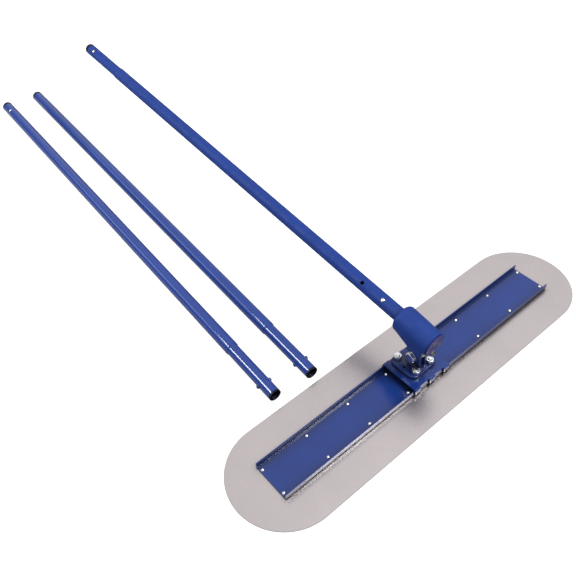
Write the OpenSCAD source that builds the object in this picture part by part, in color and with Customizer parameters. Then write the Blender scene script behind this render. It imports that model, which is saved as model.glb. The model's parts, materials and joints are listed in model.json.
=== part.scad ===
// Bull float: a long round-ended steel blade riveted under a channel, a tilting worm-gear
// head that is worked by twisting the handle, the first handle pole fitted in the head, and
// two loose extension poles lying beside it. Millimetres, +Z up. The origin is the centre
// of the blade's working face, +X runs along the blade and +Y towards the user.

/* [Blade] */
// Length of the blade over its round ends
blade_length = 813; // [600:1:1200]
// Width of the blade, front to back
blade_width = 200; // [160:1:220]
// Thickness of the blade sheet
blade_thickness = 1.5; // [1:0.1:3]

/* [Channel] */
// Length of the channel along the blade
channel_length = 674; // [672:1:680]
// Outer width of the channel
channel_width = 75; // [75:1:80]
// Height of the channel above the blade
channel_height = 13; // [12:0.5:14]
// Thickness of the channel sheet
channel_wall = 1.6; // [1.2:0.1:2]
// Outer bend radius of the channel
channel_bend = 2.5; // [2:0.1:3]

/* [Rivets] */
// Number of rivets in each of the two rows
rivets_per_row = 8; // [4:1:8]
// Distance between rivets along the blade
rivet_pitch = 95; // [80:1:95]
// Distance between the two rows
rivet_row_gap = 54; // [50:1:58]
// Diameter of a rivet's head
rivet_head_d = 7; // [6:0.1:8]
// Height of a rivet's head
rivet_head_height = 2.2; // [1.5:0.1:3]
// Diameter of a rivet's shank
rivet_shank_d = 4; // [3:0.1:5]

/* [Saddle plate] */
// Length of the saddle plate along the blade
saddle_length = 88; // [86:1:100]
// Thickness of the saddle plate
saddle_thickness = 2.5; // [2:0.1:3]
// Width of each tab folded over the channel's flange
tab_width = 14; // [8:1:18]
// Distance from one tab to the next
tab_pitch = 37; // [30:1:37]
// Gap between the tabs' ends and the blade
tab_ground_gap = 3; // [2:0.5:6]

/* [Knuckle base] */
// Length of the base flange along the blade
flange_length = 65; // [62:1:70]
// Width of the base flange
flange_width = 59; // [58:1:61]
// Thickness of the base flange
flange_thickness = 6; // [5:0.5:7]
// How far the flange's centre lies behind the pivot
flange_offset = 6.6; // [6:0.1:7]
// Corner radius of the flange
flange_corner = 12; // [6:0.5:12]
// Bolt spacing along the blade
bolt_gap_x = 36; // [36:1:38]
// Bolt spacing across the blade
bolt_gap_y = 44; // [40:1:44]
// Height of the pivot above the blade's working face
pivot_height = 52.8; // [52:0.1:56]
// Thickness of each of the two cheeks
cheek_thickness = 4.6; // [4:0.1:4.6]
// Radius of the cheeks' round tops
cheek_top_r = 13; // [12:0.5:14]

/* [Tilt gear] */
// Teeth on the whole gear wheel that the sector is cut from
gear_teeth = 41; // [41:1:41]
// Tooth size: pitch diameter divided by teeth
gear_module = 2; // [2:1:2]
// Pitch diameter of the worm
worm_pitch_d = 18; // [18:1:18]
// Width of the toothed sector
sector_width = 8.6; // [8:0.1:8.6]
// Length of the worm's thread
worm_length = 28; // [20:1:28]

/* [Housing] */
// Radius of the housing's barrel at its blade end
barrel_rear_r = 23; // [22:0.5:24]
// Radius of the housing's barrel at its handle end
barrel_front_r = 25.5; // [25:0.5:27]
// Radius of the rounded shoulder
shoulder_r = 8; // [5:0.5:9]
// Thickness of each of the two pivot lugs
lug_thickness = 5; // [4:0.1:5]
// Radius of the lugs' round ends
lug_boss_r = 12.5; // [11:0.5:12.5]

/* [Poles] */
// Outer diameter of the pole tube
tube_d = 27; // [26.5:0.1:27.5]
// Wall of the pole tube
tube_wall = 1.5; // [1.3:0.1:1.5]
// Length of the first pole, fitted in the head
first_pole_length = 1069; // [800:1:1300]
// Length of each extension pole
extension_length = 1257; // [800:1:1400]
// Length of the reduced tip that plugs into the next pole
tip_length = 135; // [120:1:140]
// Outer diameter of the reduced tip
tip_d = 24.4; // [24.4:0.1:24.4]
// Radial clearance between a tip and the socket it plugs into
socket_clearance = 0.15; // [0.1:0.01:0.2]

/* [Snap buttons] */
// Diameter of a snap button
button_d = 7; // [6:0.1:7.4]
// How far a button stands out of the reduced tip
button_rise = 3.8; // [3:0.1:4]
// Distance from the tip's end to its buttons
button_from_tip = 34; // [30:1:40]

/* [Layout] */
// Rise of the handle above level
handle_rise = 6.18; // [5:0.01:8]
// Turn of the handle's button line about the handle's axis
handle_turn = 237; // [0:1:360]
// Second pole: tip's place along the blade
second_pole_x = -229.3; // [-300:0.1:-200]
// Second pole: tip's place behind the blade's centre line
second_pole_y = 118.2; // [116:0.1:200]
// Second pole: heading away from straight back
second_pole_heading = 2.67; // [0:0.01:5]
// Second pole: turn of the holes in its socket
second_pole_socket_turn = 240; // [0:1:360]
// Third pole: tip's place along the blade
third_pole_x = -149.6; // [-160:0.1:-100]
// Third pole: tip's place behind the blade's centre line
third_pole_y = 111.5; // [110:0.1:200]
// Third pole: heading away from straight back
third_pole_heading = 3.03; // [0:0.01:5]
// Third pole: turn of the holes in its socket
third_pole_socket_turn = 340; // [0:1:360]

/* [Hidden] */

$fn = 64;
paint = [0.16, 0.24, 0.55];
bare_steel = [0.80, 0.78, 0.77];
zinc = [0.82, 0.83, 0.86];
bronze = [0.70, 0.52, 0.28];

slack = 0.02;               // radial slack of a fixed pin in its hole
running = 0.05;             // radial clearance of a running fit
body_gap = 0.4;             // gap between faces that move past each other
cut = 1;                    // how far a cutting shape runs past a face

blade_top = blade_thickness;
floor_top = blade_top + channel_wall;
saddle_bottom = blade_top + channel_height;
saddle_top = saddle_bottom + saddle_thickness;
flange_top = saddle_top + flange_thickness;

// M8 base bolts and M10 pivot bolt
bolt_d = 8;
bolt_hole_d = 8.6;
bolt_head_height = 5.3;
bolt_flats = 13;
nut_height = 6.5;
bolt_end = 3;               // thread that stands above the nut
washer_d = 16;
washer_thickness = 1.6;
pivot_d = 10;
pivot_flats = 17;
pivot_head_height = 6.4;
pivot_nut_height = 8;
pivot_washer_d = 20;

// Gear train
gear_pitch_r = gear_teeth * gear_module / 2;
worm_pitch_r = worm_pitch_d / 2;
shaft_drop = gear_pitch_r + worm_pitch_r;        // pivot to worm axis
tooth_pitch = PI * gear_module;
tooth_angle = 360 / gear_teeth;
lead_angle = atan(gear_module / worm_pitch_d);
addendum = gear_module;
dedendum = 1.2 * gear_module;
flank_angle = 20;
sector_tooth = 2.3;         // tooth thickness at the pitch circle
thread_tooth = 2.5;         // thread thickness at the pitch cylinder
mesh_angle = 90 + handle_rise;                   // from +Y, where the worm meets the sector
first_tooth = -2;
last_tooth = 5;
sector_hub_r = 13;
sector_foot_width = 18;
dowel_d = 4;
dowel_drop = 17;
dowel_gap = 10;

cheek_inside = sector_width / 2 + 0.1;
cheek_outside = cheek_inside + cheek_thickness;
lug_inside = cheek_outside + body_gap;
lug_outside = lug_inside + lug_thickness;
pivot_washer_inside = lug_outside + 0.3;
pivot_washer_outside = pivot_washer_inside + washer_thickness;

// Stations along the handle's axis, measured from the point above the pivot
cap_rear = -28;
barrel_rear = -25;
cap_inner = -16;
cavity_front = 21;
recess_rear = 33;
barrel_front = 52;
cavity_r = 16;
bush_r = 9;
shaft_r = 6;
shaft_rear = -27;
shaft_front = 48;
recess_r = tube_d / 2 + 0.7;
hub_front = 19.2;
hub_r = 8.5;
thrust_r = 8.8;
thrust_thickness = 1.3;
slot_width = sector_width + 1.4;
slot_r = gear_pitch_r + addendum + 1.2;
spigot_rear = 36;
spigot_flange_front = 40;
spigot_solid_front = 52;
first_pole_rear = 41;
first_socket_hole = 50;                          // from a socket's mouth to its nearest holes
spigot_buttons_at = first_pole_rear + first_socket_hole;
spigot_front = spigot_buttons_at + button_from_tip;

// Poles
tube_r = tube_d / 2;
tip_r = tip_d / 2;
bore_r = tube_r - tube_wall;
tip_bore_r = tip_r - 1.4;
socket_r = tip_r + socket_clearance;
socket_length = tip_length + 2;
taper_length = 5;
tip_chamfer = 0.8;
button_hole_d = button_d + 0.6;
far_socket_hole = tip_length - button_from_tip;  // holes that a fully seated tip reaches
button_line = 0;             // the loose poles' buttons lie level

// Snap button and its spring
button_top = tip_r + button_rise;
button_dome = 1.4;
button_flange_r = 4.5;
button_flange_top = 9.6;
button_flange_bottom = 8.4;
spring_strip = 0.6;
spring_width = 7;
spring_arm = 30;
spring_tail = 6;

// ---------------------------------------------------------------- frames

// Puts a shape drawn in (x, y) into the Y-Z plane, with its height along X
module side_on() { rotate([90, 0, 90]) children(); }

// Origin on the pivot, local Y along the handle and local Z away from the blade
module at_pivot() { translate([0, 0, pivot_height]) rotate([handle_rise, 0, 0]) children(); }

// Local Z along the handle's axis towards the user, local -Y away from the blade
module along_handle() { at_pivot() translate([0, 0, shaft_drop]) rotate([-90, 0, 0]) children(); }

// Local Z along a pole lying on the floor, from its reduced tip
module along_floor(x, y, heading) {
    translate([x, y, tube_r]) rotate([0, 0, -heading]) rotate([-90, 0, 0]) children();
}
module along_second_pole() {
    along_floor(second_pole_x, second_pole_y, second_pole_heading) children();
}
module along_third_pole() {
    along_floor(third_pole_x, third_pole_y, third_pole_heading) children();
}
// The first pole's tip points away from the blade, so its own frame is turned end for end
module along_first_pole() {
    along_handle() translate([0, 0, first_pole_rear + first_pole_length]) mirror([0, 0, 1])
        children();
}

// ---------------------------------------------------------------- shared shapes

// Rectangle with round corners
module round_rect(length, width, r) {
    square([length, width - 2 * r], center = true);
    square([length - 2 * r, width], center = true);
    for (x = [-1, 1], y = [-1, 1])
        translate([x * (length / 2 - r), y * (width / 2 - r)]) circle(r);
}

// Rectangle standing on y = 0, with its two lower corners rounded
module cup(width, height, r) {
    translate([-width / 2, r]) square([width, height - r]);
    translate([-width / 2 + r, 0]) square([width - 2 * r, height]);
    for (x = [-1, 1]) translate([x * (width / 2 - r), r]) circle(r);
}

// Sheet bent to a U, open at the top
module u_section(width, height, wall, bend) {
    difference() {
        cup(width, height, bend);
        translate([0, wall]) cup(width - 2 * wall, height, bend - wall);
    }
}

// Washer or bush standing on z = 0
module ring(outer_r, inner_r, height) {
    difference() {
        cylinder(r = outer_r, h = height);
        translate([0, 0, -cut]) cylinder(r = inner_r, h = height + 2 * cut);
    }
}

// Hexagonal bar, flats given
module hexagon(flats, height) { cylinder(d = flats / cos(30), h = height, $fn = 6); }

// Where a line from p touches a circle of radius r round the origin; side is -1 or 1
function tangent_point(p, r, side) =
    let (at = atan2(p.y, p.x) + side * acos(r / norm(p))) r * [cos(at), sin(at)];

// Copies a child to both sides of the X = 0 plane
module both_sides() { for (side = [0, 1]) mirror([side, 0, 0]) children(); }

module at_base_bolts() {
    for (x = [-1, 1], y = [-1, 1])
        translate([x * bolt_gap_x / 2, flange_offset + y * bolt_gap_y / 2, 0]) children();
}

module at_rivets() {
    for (i = [0 : rivets_per_row - 1], y = [-1, 1])
        translate([(i - (rivets_per_row - 1) / 2) * rivet_pitch, y * rivet_row_gap / 2, 0])
            children();
}

module rivet_holes() {
    at_rivets() translate([0, 0, -cut])
        cylinder(d = rivet_shank_d + 2 * slack, h = floor_top + 2 * cut);
}

// ---------------------------------------------------------------- float

module blade() {
    color(bare_steel) difference() {
        linear_extrude(blade_thickness) {
            square([blade_length - blade_width, blade_width], center = true);
            for (x = [-1, 1]) translate([x * (blade_length - blade_width) / 2, 0])
                circle(d = blade_width, $fn = 180);
        }
        rivet_holes();
    }
}

module channel() {
    color(paint) difference() {
        translate([0, 0, blade_top]) side_on() linear_extrude(channel_length, center = true)
            u_section(channel_width, channel_height, channel_wall, channel_bend);
        rivet_holes();
    }
}

// Flat-bottomed shank, flush with the working face, under a domed head
module blade_rivets() {
    dome_r = (pow(rivet_head_d / 2, 2) + pow(rivet_head_height, 2)) / (2 * rivet_head_height);
    color(zinc) at_rivets() {
        cylinder(d = rivet_shank_d, h = floor_top);
        translate([0, 0, floor_top]) intersection() {
            cylinder(d = rivet_head_d, h = rivet_head_height);
            translate([0, 0, rivet_head_height - dome_r]) sphere(dome_r);
        }
    }
}

module saddle_plate() {
    tab_gap = 0.1;
    tab_bend = 2.6;
    fold_width = channel_width + 2 * (tab_gap + saddle_thickness);
    fold_height = saddle_top - blade_top - tab_ground_gap;
    color(paint) difference() {
        union() {
            translate([0, 0, saddle_bottom]) linear_extrude(saddle_thickness)
                round_rect(saddle_length, channel_width, 3);
            for (i = [-1 : 1]) translate([i * tab_pitch, 0, saddle_top]) side_on()
                linear_extrude(tab_width, center = true) mirror([0, 1])
                    u_section(fold_width, fold_height, saddle_thickness, tab_bend);
        }
        at_base_bolts() translate([0, 0, saddle_bottom - cut])
            cylinder(d = bolt_hole_d, h = saddle_thickness + 2 * cut);
    }
}

// One cheek beside the gear sector, drawn in the Y-Z plane from the pivot
module cheek_outline() {
    foot = [15, flange_top - pivot_height - cut];
    circle(cheek_top_r);
    polygon([
        foot,
        tangent_point(foot, cheek_top_r, 1),
        tangent_point([-foot.x, foot.y], cheek_top_r, -1),
        [-foot.x, foot.y]
    ]);
}

module knuckle_base() {
    spare_hole_d = 5;
    spare_hole_x = 24;
    color(paint) difference() {
        union() {
            translate([0, flange_offset, saddle_top]) linear_extrude(flange_thickness)
                round_rect(flange_length, flange_width, flange_corner);
            both_sides() translate([cheek_inside, 0, pivot_height]) side_on()
                linear_extrude(cheek_thickness) cheek_outline();
        }
        at_base_bolts() translate([0, 0, saddle_top - cut])
            cylinder(d = bolt_hole_d, h = flange_thickness + 2 * cut);
        both_sides() translate([spare_hole_x, flange_offset, saddle_top - cut])
            cylinder(d = spare_hole_d, h = flange_thickness + 2 * cut);
        pivot_hole(pivot_d / 2 + slack);
        dowel_holes();
    }
}

module base_bolts() {
    shank = saddle_thickness + flange_thickness + washer_thickness + nut_height + bolt_end;
    color(zinc) at_base_bolts() translate([0, 0, saddle_bottom]) {
        cylinder(d = bolt_d, h = shank);
        translate([0, 0, -bolt_head_height]) hexagon(bolt_flats, bolt_head_height);
    }
}

module base_washers() {
    color(zinc) at_base_bolts() translate([0, 0, flange_top])
        ring(washer_d / 2, bolt_d / 2 + slack, washer_thickness);
}

module base_nuts() {
    color(zinc) at_base_bolts() translate([0, 0, flange_top + washer_thickness])
        difference() {
            hexagon(bolt_flats, nut_height);
            translate([0, 0, -cut]) cylinder(r = bolt_d / 2 + slack, h = nut_height + 2 * cut);
        }
}

// ---------------------------------------------------------------- fixed gear and pivot

module pivot_hole(r) {
    translate([0, 0, pivot_height]) rotate([0, 90, 0])
        cylinder(r = r, h = 2 * lug_outside + 2 * cut, center = true);
}

module at_dowels() {
    for (y = [-1, 1]) translate([0, y * dowel_gap / 2, pivot_height - dowel_drop])
        rotate([0, 90, 0]) children();
}

module dowel_holes() {
    at_dowels() cylinder(r = dowel_d / 2 + slack, h = 2 * cheek_outside + 2 * cut, center = true);
}

// Tooth as a trapezoid, drawn with its centre line along +Y from the gear's centre
module sector_tooth_outline() {
    root = gear_pitch_r - dedendum;
    tip = gear_pitch_r + addendum;
    root_half = sector_tooth / 2 + dedendum * tan(flank_angle);
    tip_half = sector_tooth / 2 - addendum * tan(flank_angle);
    polygon([
        [-root_half, root - cut],
        [root_half, root - cut],
        [root_half, root],
        [tip_half, tip],
        [-tip_half, tip],
        [-root_half, root]
    ]);
}

module sector_tooth_at(i) {
    rotate([mesh_angle - 90 + (i + 0.5) * tooth_angle, 0, 0]) rotate([0, 0, -lead_angle])
        side_on() linear_extrude(sector_width - cut, center = true) sector_tooth_outline();
}

module gear_sector() {
    start = mesh_angle + first_tooth * tooth_angle;
    end = mesh_angle + (last_tooth + 1) * tooth_angle;
    reach = 2 * gear_pitch_r;
    color(zinc) difference() {
        translate([0, 0, pivot_height]) {
            side_on() linear_extrude(sector_width, center = true) {
                circle(sector_hub_r);
                intersection() {
                    circle(gear_pitch_r - dedendum, $fn = 128);
                    polygon([[0, 0], reach * [cos(start), sin(start)],
                        reach * [cos(end), sin(end)]]);
                }
                translate([-sector_foot_width / 2, flange_top + 3 - pivot_height])
                    square([sector_foot_width, pivot_height - flange_top - 3]);
            }
            for (i = [first_tooth : last_tooth]) sector_tooth_at(i);
        }
        pivot_hole(pivot_d / 2 + slack);
        dowel_holes();
    }
}

module sector_dowels() {
    color(zinc) at_dowels() cylinder(d = dowel_d, h = 2 * cheek_outside, center = true);
}

module pivot_bolt() {
    shank_end = pivot_washer_outside + pivot_nut_height + 1.5;
    color(zinc) translate([-pivot_washer_outside, 0, pivot_height]) rotate([0, 90, 0]) {
        translate([0, 0, -pivot_head_height]) hexagon(pivot_flats, pivot_head_height);
        cylinder(d = pivot_d, h = pivot_washer_outside + shank_end);
    }
}

module pivot_washers() {
    color(zinc) both_sides() translate([pivot_washer_inside, 0, pivot_height])
        rotate([0, 90, 0]) ring(pivot_washer_d / 2, pivot_d / 2 + slack, washer_thickness);
}

module pivot_nut() {
    color(zinc) translate([pivot_washer_outside, 0, pivot_height]) rotate([0, 90, 0])
        difference() {
            hexagon(pivot_flats, pivot_nut_height);
            translate([0, 0, -cut])
                cylinder(r = pivot_d / 2 + slack, h = pivot_nut_height + 2 * cut);
        }
}

// ---------------------------------------------------------------- housing

// Half section of the barrel: radius across, station along the handle upwards
module barrel_section() {
    edge = 2;
    difference() {
        union() {
            polygon([
                [0, barrel_rear],
                [barrel_rear_r - edge, barrel_rear],
                [barrel_rear_r, barrel_rear + edge],
                [barrel_front_r, barrel_front - shoulder_r],
                [barrel_front_r - shoulder_r, barrel_front],
                [0, barrel_front]
            ]);
            translate([barrel_front_r - shoulder_r, barrel_front - shoulder_r])
                circle(shoulder_r);
        }
        translate([-cut, barrel_rear - cut])
            square([cavity_r + cut, cavity_front - barrel_rear + cut]);
        translate([-cut, cavity_front - cut])
            square([bush_r + slack + cut, recess_rear - cavity_front + 2 * cut]);
        translate([-cut, recess_rear])
            square([recess_r + cut, barrel_front - recess_rear + cut]);
    }
}

// Lug from the barrel down to the pivot, drawn with the handle's axis to the right
module lug_outline() {
    barrel_wall_v = 36;
    heel = [-16, 29];
    circle(lug_boss_r);
    polygon([
        [0, 0],
        [9, 9.2],
        [48, 24.9],
        [48, barrel_wall_v],
        [heel.x, barrel_wall_v],
        heel,
        tangent_point(heel, lug_boss_r, 1)
    ]);
}

// Clearance that the sector sweeps through as the housing tilts
module sector_slot() {
    at_pivot() rotate([0, 90, 0]) cylinder(r = slot_r, h = slot_width, center = true);
}

module gear_housing() {
    color(paint) difference() {
        union() {
            along_handle() rotate_extrude() barrel_section();
            both_sides() at_pivot() translate([lug_inside, 0, 0]) side_on()
                linear_extrude(lug_thickness) lug_outline();
        }
        sector_slot();
        pivot_hole(pivot_d / 2 + running);
    }
}

module housing_cap() {
    cap_r = barrel_rear_r - 1;
    color(paint) difference() {
        along_handle() {
            translate([0, 0, cap_rear]) cylinder(r = cap_r, h = barrel_rear - cap_rear);
            translate([0, 0, barrel_rear]) cylinder(r = cavity_r - slack, h = cap_inner - barrel_rear);
        }
        along_handle() translate([0, 0, shaft_rear])
            cylinder(r = bush_r - 1 + slack, h = cap_inner - shaft_rear + cut);
        sector_slot();
    }
}

module front_bush() {
    color(bronze) along_handle() translate([0, 0, cavity_front])
        ring(bush_r, shaft_r + running, recess_rear - cavity_front);
}

module rear_bush() {
    color(bronze) along_handle() translate([0, 0, shaft_rear])
        ring(bush_r - 1, shaft_r + running, cap_inner - shaft_rear);
}

// ---------------------------------------------------------------- worm and shaft

// Radius of the thread, where turn runs from 0 to 1 over one pitch
function thread_radius(turn) =
    let (off_crest = abs(turn - 0.5) * tooth_pitch,
        crest_half = thread_tooth / 2 - addendum * tan(flank_angle),
        depth = (off_crest - crest_half) / tan(flank_angle))
    worm_pitch_r + addendum - min(max(depth, 0), addendum + dedendum);

// Right-handed thread whose crest faces the sector at station 0
module worm_thread() {
    steps = 36;
    turns = worm_length / tooth_pitch;
    start_turn = 90 - 180 - 180 * turns;
    translate([0, 0, -worm_length / 2]) rotate([0, 0, start_turn])
        linear_extrude(worm_length, twist = -360 * turns, slices = ceil(turns * 20))
            polygon([for (i = [0 : steps - 1])
                thread_radius(i / steps) * [cos(360 * i / steps), sin(360 * i / steps)]]);
}

module worm_pin_hole(r) {
    along_handle() translate([0, 0, (worm_length / 2 + hub_front) / 2]) rotate([0, 90, 0])
        cylinder(r = r, h = 2 * hub_r + 2 * cut, center = true);
}

module worm() {
    hub_rear = worm_length / 2 - 0.5;
    color(zinc) difference() {
        along_handle() {
            worm_thread();
            translate([0, 0, hub_rear]) cylinder(r = hub_r, h = hub_front - hub_rear);
        }
        along_handle() cylinder(r = shaft_r + slack, h = 3 * worm_length, center = true);
        worm_pin_hole(1.5 + slack);
    }
}

module worm_pin() {
    pin_length = 2 * hub_r - 1;
    color(zinc) along_handle() translate([0, 0, (worm_length / 2 + hub_front) / 2])
        rotate([0, 90, 0]) cylinder(r = 1.5, h = pin_length, center = true);
}

module worm_shaft() {
    color(zinc) difference() {
        along_handle() translate([0, 0, shaft_rear + 0.5])
            cylinder(r = shaft_r, h = shaft_front - shaft_rear - 0.5);
        worm_pin_hole(1.5 + slack);
        spigot_pin_hole();
    }
}

module thrust_washers() {
    color(bronze) along_handle() {
        translate([0, 0, -worm_length / 2 - 0.1 - thrust_thickness])
            ring(thrust_r, shaft_r + slack, thrust_thickness);
        translate([0, 0, hub_front + 0.1]) ring(thrust_r, shaft_r + slack, thrust_thickness);
    }
}

// ---------------------------------------------------------------- spigot

module spigot_pin_hole() {
    along_handle() translate([0, 0, (first_pole_rear + shaft_front) / 2]) rotate([0, 90, 0])
        cylinder(r = 2 + slack, h = 2 * tip_r + 2 * cut, center = true);
}

module spigot() {
    color(zinc) difference() {
        along_handle() {
            translate([0, 0, spigot_rear])
                cylinder(r = tube_r, h = spigot_flange_front - spigot_rear);
            translate([0, 0, spigot_rear]) cylinder(r = tip_r, h = spigot_front - spigot_rear);
        }
        along_handle() {
            translate([0, 0, spigot_rear - cut])
                cylinder(r = shaft_r + slack, h = shaft_front - spigot_rear + cut);
            translate([0, 0, spigot_solid_front])
                cylinder(r = tip_bore_r, h = spigot_front - spigot_solid_front + cut);
            translate([0, 0, spigot_buttons_at]) button_holes(handle_turn);
        }
        spigot_pin_hole();
    }
}

module spigot_pin() {
    color(zinc) along_handle() translate([0, 0, (first_pole_rear + shaft_front) / 2])
        rotate([0, 90, 0]) cylinder(r = 2, h = 2 * tip_r - 0.6, center = true);
}

// ---------------------------------------------------------------- poles and snap buttons

// Holes through both walls, with their axis turned from local X
module button_holes(turn) {
    rotate([0, 0, turn]) rotate([0, 90, 0])
        cylinder(d = button_hole_d, h = tube_d + 2 * cut, center = true);
}

// Tube with its reduced tip at z = 0 and its socket at the other end; socket_holes are the
// distances from the socket's mouth to its button holes
module pole_tube(length, button_turn, socket_turn, socket_holes) {
    difference() {
        rotate_extrude() difference() {
            polygon([
                [0, 0],
                [tip_r - tip_chamfer, 0],
                [tip_r, tip_chamfer],
                [tip_r, tip_length - taper_length],
                [tube_r, tip_length],
                [tube_r, length],
                [0, length]
            ]);
            polygon([
                [-cut, -cut],
                [tip_bore_r, -cut],
                [tip_bore_r, tip_length - taper_length],
                [bore_r, tip_length],
                [bore_r, length - socket_length],
                [socket_r, length - socket_length],
                [socket_r, length + cut],
                [-cut, length + cut]
            ]);
        }
        translate([0, 0, button_from_tip]) button_holes(button_turn);
        for (from_mouth = socket_holes)
            translate([0, 0, length - from_mouth]) button_holes(socket_turn);
    }
}

// Button standing out along local X, with the flange that keeps it in the tube
module snap_button() {
    dome_r = (pow(button_d / 2, 2) + pow(button_dome, 2)) / (2 * button_dome);
    color(zinc) rotate([0, 90, 0]) {
        translate([0, 0, button_flange_bottom])
            cylinder(r = button_flange_r, h = button_flange_top - button_flange_bottom);
        intersection() {
            translate([0, 0, button_flange_bottom])
                cylinder(d = button_d, h = button_top - button_flange_bottom);
            translate([0, 0, button_top - dome_r]) sphere(dome_r);
        }
    }
}

// Leaf spring bent to a U behind both buttons, its bend along local +Z
module button_spring() {
    outer_r = button_flange_bottom;
    inner_r = outer_r - spring_strip;
    color(zinc) rotate([90, 0, 0]) linear_extrude(spring_width, center = true) difference() {
        union() {
            translate([-outer_r, -spring_tail]) square([2 * outer_r, spring_arm + spring_tail]);
            translate([0, spring_arm]) circle(outer_r);
        }
        translate([-inner_r, -spring_tail - cut])
            square([2 * inner_r, spring_arm + spring_tail + cut]);
        translate([0, spring_arm]) circle(inner_r);
    }
}

// One button or the spring of a pole's reduced tip, in that pole's frame
module tip_button(turn) {
    translate([0, 0, button_from_tip]) rotate([0, 0, turn]) snap_button();
}
module tip_spring(turn) {
    translate([0, 0, button_from_tip]) rotate([0, 0, turn]) button_spring();
}

module spigot_button(turn) {
    along_handle() translate([0, 0, spigot_buttons_at]) rotate([0, 0, turn]) snap_button();
}
module spigot_button_upper() { spigot_button(handle_turn); }
module spigot_button_lower() { spigot_button(handle_turn + 180); }
module spigot_spring() {
    along_handle() translate([0, 0, spigot_buttons_at]) rotate([0, 0, handle_turn])
        mirror([0, 0, 1]) button_spring();
}

module first_pole() {
    color(paint) along_first_pole()
        pole_tube(first_pole_length, handle_turn, handle_turn, [first_socket_hole, far_socket_hole]);
}
module first_pole_spring() { along_first_pole() tip_spring(handle_turn); }
module first_pole_button_upper() { along_first_pole() tip_button(handle_turn); }
module first_pole_button_lower() { along_first_pole() tip_button(handle_turn + 180); }

module extension_pole(socket_turn) {
    color(paint) pole_tube(extension_length, button_line, socket_turn, [first_socket_hole]);
}
module second_pole() { along_second_pole() extension_pole(second_pole_socket_turn); }
module second_pole_spring() { along_second_pole() tip_spring(button_line); }
module second_pole_button_right() { along_second_pole() tip_button(button_line); }
module second_pole_button_left() { along_second_pole() tip_button(button_line + 180); }
module third_pole() { along_third_pole() extension_pole(third_pole_socket_turn); }
module third_pole_spring() { along_third_pole() tip_spring(button_line); }
module third_pole_button_right() { along_third_pole() tip_button(button_line); }
module third_pole_button_left() { along_third_pole() tip_button(button_line + 180); }

blade();
channel();
blade_rivets();
saddle_plate();
knuckle_base();
base_bolts();
base_washers();
base_nuts();
gear_sector();
sector_dowels();
pivot_bolt();
pivot_washers();
pivot_nut();
gear_housing();
housing_cap();
front_bush();
rear_bush();
worm();
worm_shaft();
worm_pin();
thrust_washers();
spigot();
spigot_pin();
spigot_spring();
spigot_button_upper();
spigot_button_lower();
first_pole();
first_pole_spring();
first_pole_button_upper();
first_pole_button_lower();
second_pole();
second_pole_spring();
second_pole_button_left();
second_pole_button_right();
third_pole();
third_pole_spring();
third_pole_button_left();
third_pole_button_right();
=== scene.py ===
"""The bull float's looks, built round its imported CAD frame.

Shapes are written in millimetres in the frame of the piece they belong to, and new_object
turns them into metres in the row's frame. The camera and the lights come last.
"""

import json
import math

import bmesh
import bpy
import numpy as np
from mathutils import Matrix, Vector

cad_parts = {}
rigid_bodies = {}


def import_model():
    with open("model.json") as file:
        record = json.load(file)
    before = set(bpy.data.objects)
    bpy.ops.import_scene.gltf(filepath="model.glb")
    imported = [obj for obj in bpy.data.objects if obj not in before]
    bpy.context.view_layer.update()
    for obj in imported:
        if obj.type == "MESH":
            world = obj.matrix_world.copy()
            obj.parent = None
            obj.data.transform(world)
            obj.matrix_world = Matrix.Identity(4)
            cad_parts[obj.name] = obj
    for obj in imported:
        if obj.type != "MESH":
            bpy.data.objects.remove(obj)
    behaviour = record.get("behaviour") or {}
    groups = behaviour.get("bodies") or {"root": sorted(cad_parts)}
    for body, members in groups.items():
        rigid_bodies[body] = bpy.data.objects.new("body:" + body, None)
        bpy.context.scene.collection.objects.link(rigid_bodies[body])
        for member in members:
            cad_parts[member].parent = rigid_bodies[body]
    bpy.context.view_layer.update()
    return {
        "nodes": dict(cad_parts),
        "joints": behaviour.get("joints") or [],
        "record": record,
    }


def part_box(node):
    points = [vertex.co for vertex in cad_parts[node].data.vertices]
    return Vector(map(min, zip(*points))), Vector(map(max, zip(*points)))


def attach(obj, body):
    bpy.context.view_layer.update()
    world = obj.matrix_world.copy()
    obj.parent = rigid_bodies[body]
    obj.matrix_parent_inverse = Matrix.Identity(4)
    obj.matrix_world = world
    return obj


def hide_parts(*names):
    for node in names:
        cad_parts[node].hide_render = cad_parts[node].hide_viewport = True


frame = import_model()
RECORD = frame["record"]
BODY_OF = {node: body for body, nodes in RECORD["behaviour"]["bodies"].items() for node in nodes}
SLOT_OF = {part["node"]: part["material_slot"] for part in RECORD["subparts"]}
# These look different in the photo from what their CAD slot says
SLOT_OF.update({
    "base_washers": "blue_paint",
    "pivot_washers": "machined_steel",
    "first_pole_button_upper": "button_metal",
    "first_pole_button_lower": "button_metal",
})
JOINT = {joint["name"]: joint for joint in frame["joints"]}
MOUNT = {mount["name"]: mount for mount in RECORD["mounts"]}
MM = 0.001

# ---------------------------------------------------------------- frames, in millimetres


def corners(node):
    """Lowest and highest corner of a CAD node."""
    low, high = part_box(node)
    return low / MM, high / MM


def axes_at(origin, x_axis, z_axis):
    """Matrix of a frame from its origin and two of its axes."""
    x_axis, z_axis = Vector(x_axis).normalized(), Vector(z_axis).normalized()
    turned = Matrix((x_axis, z_axis.cross(x_axis), z_axis)).transposed()
    return Matrix.Translation(origin) @ turned.to_4x4()


ROW = Matrix.Identity(4)
PIVOT = Vector(JOINT["tilt"]["pos_m"]) / MM
SHAFT_FOOT = Vector(JOINT["twist"]["pos_m"]) / MM
ALONG = -Vector(JOINT["twist"]["axis"])
AWAY = (SHAFT_FOOT - PIVOT).normalized()
SHAFT_DROP = (SHAFT_FOOT - PIVOT).length
HEAD = axes_at(PIVOT, (1, 0, 0), AWAY)
HANDLE = axes_at(SHAFT_FOOT, (1, 0, 0), ALONG)


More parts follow.
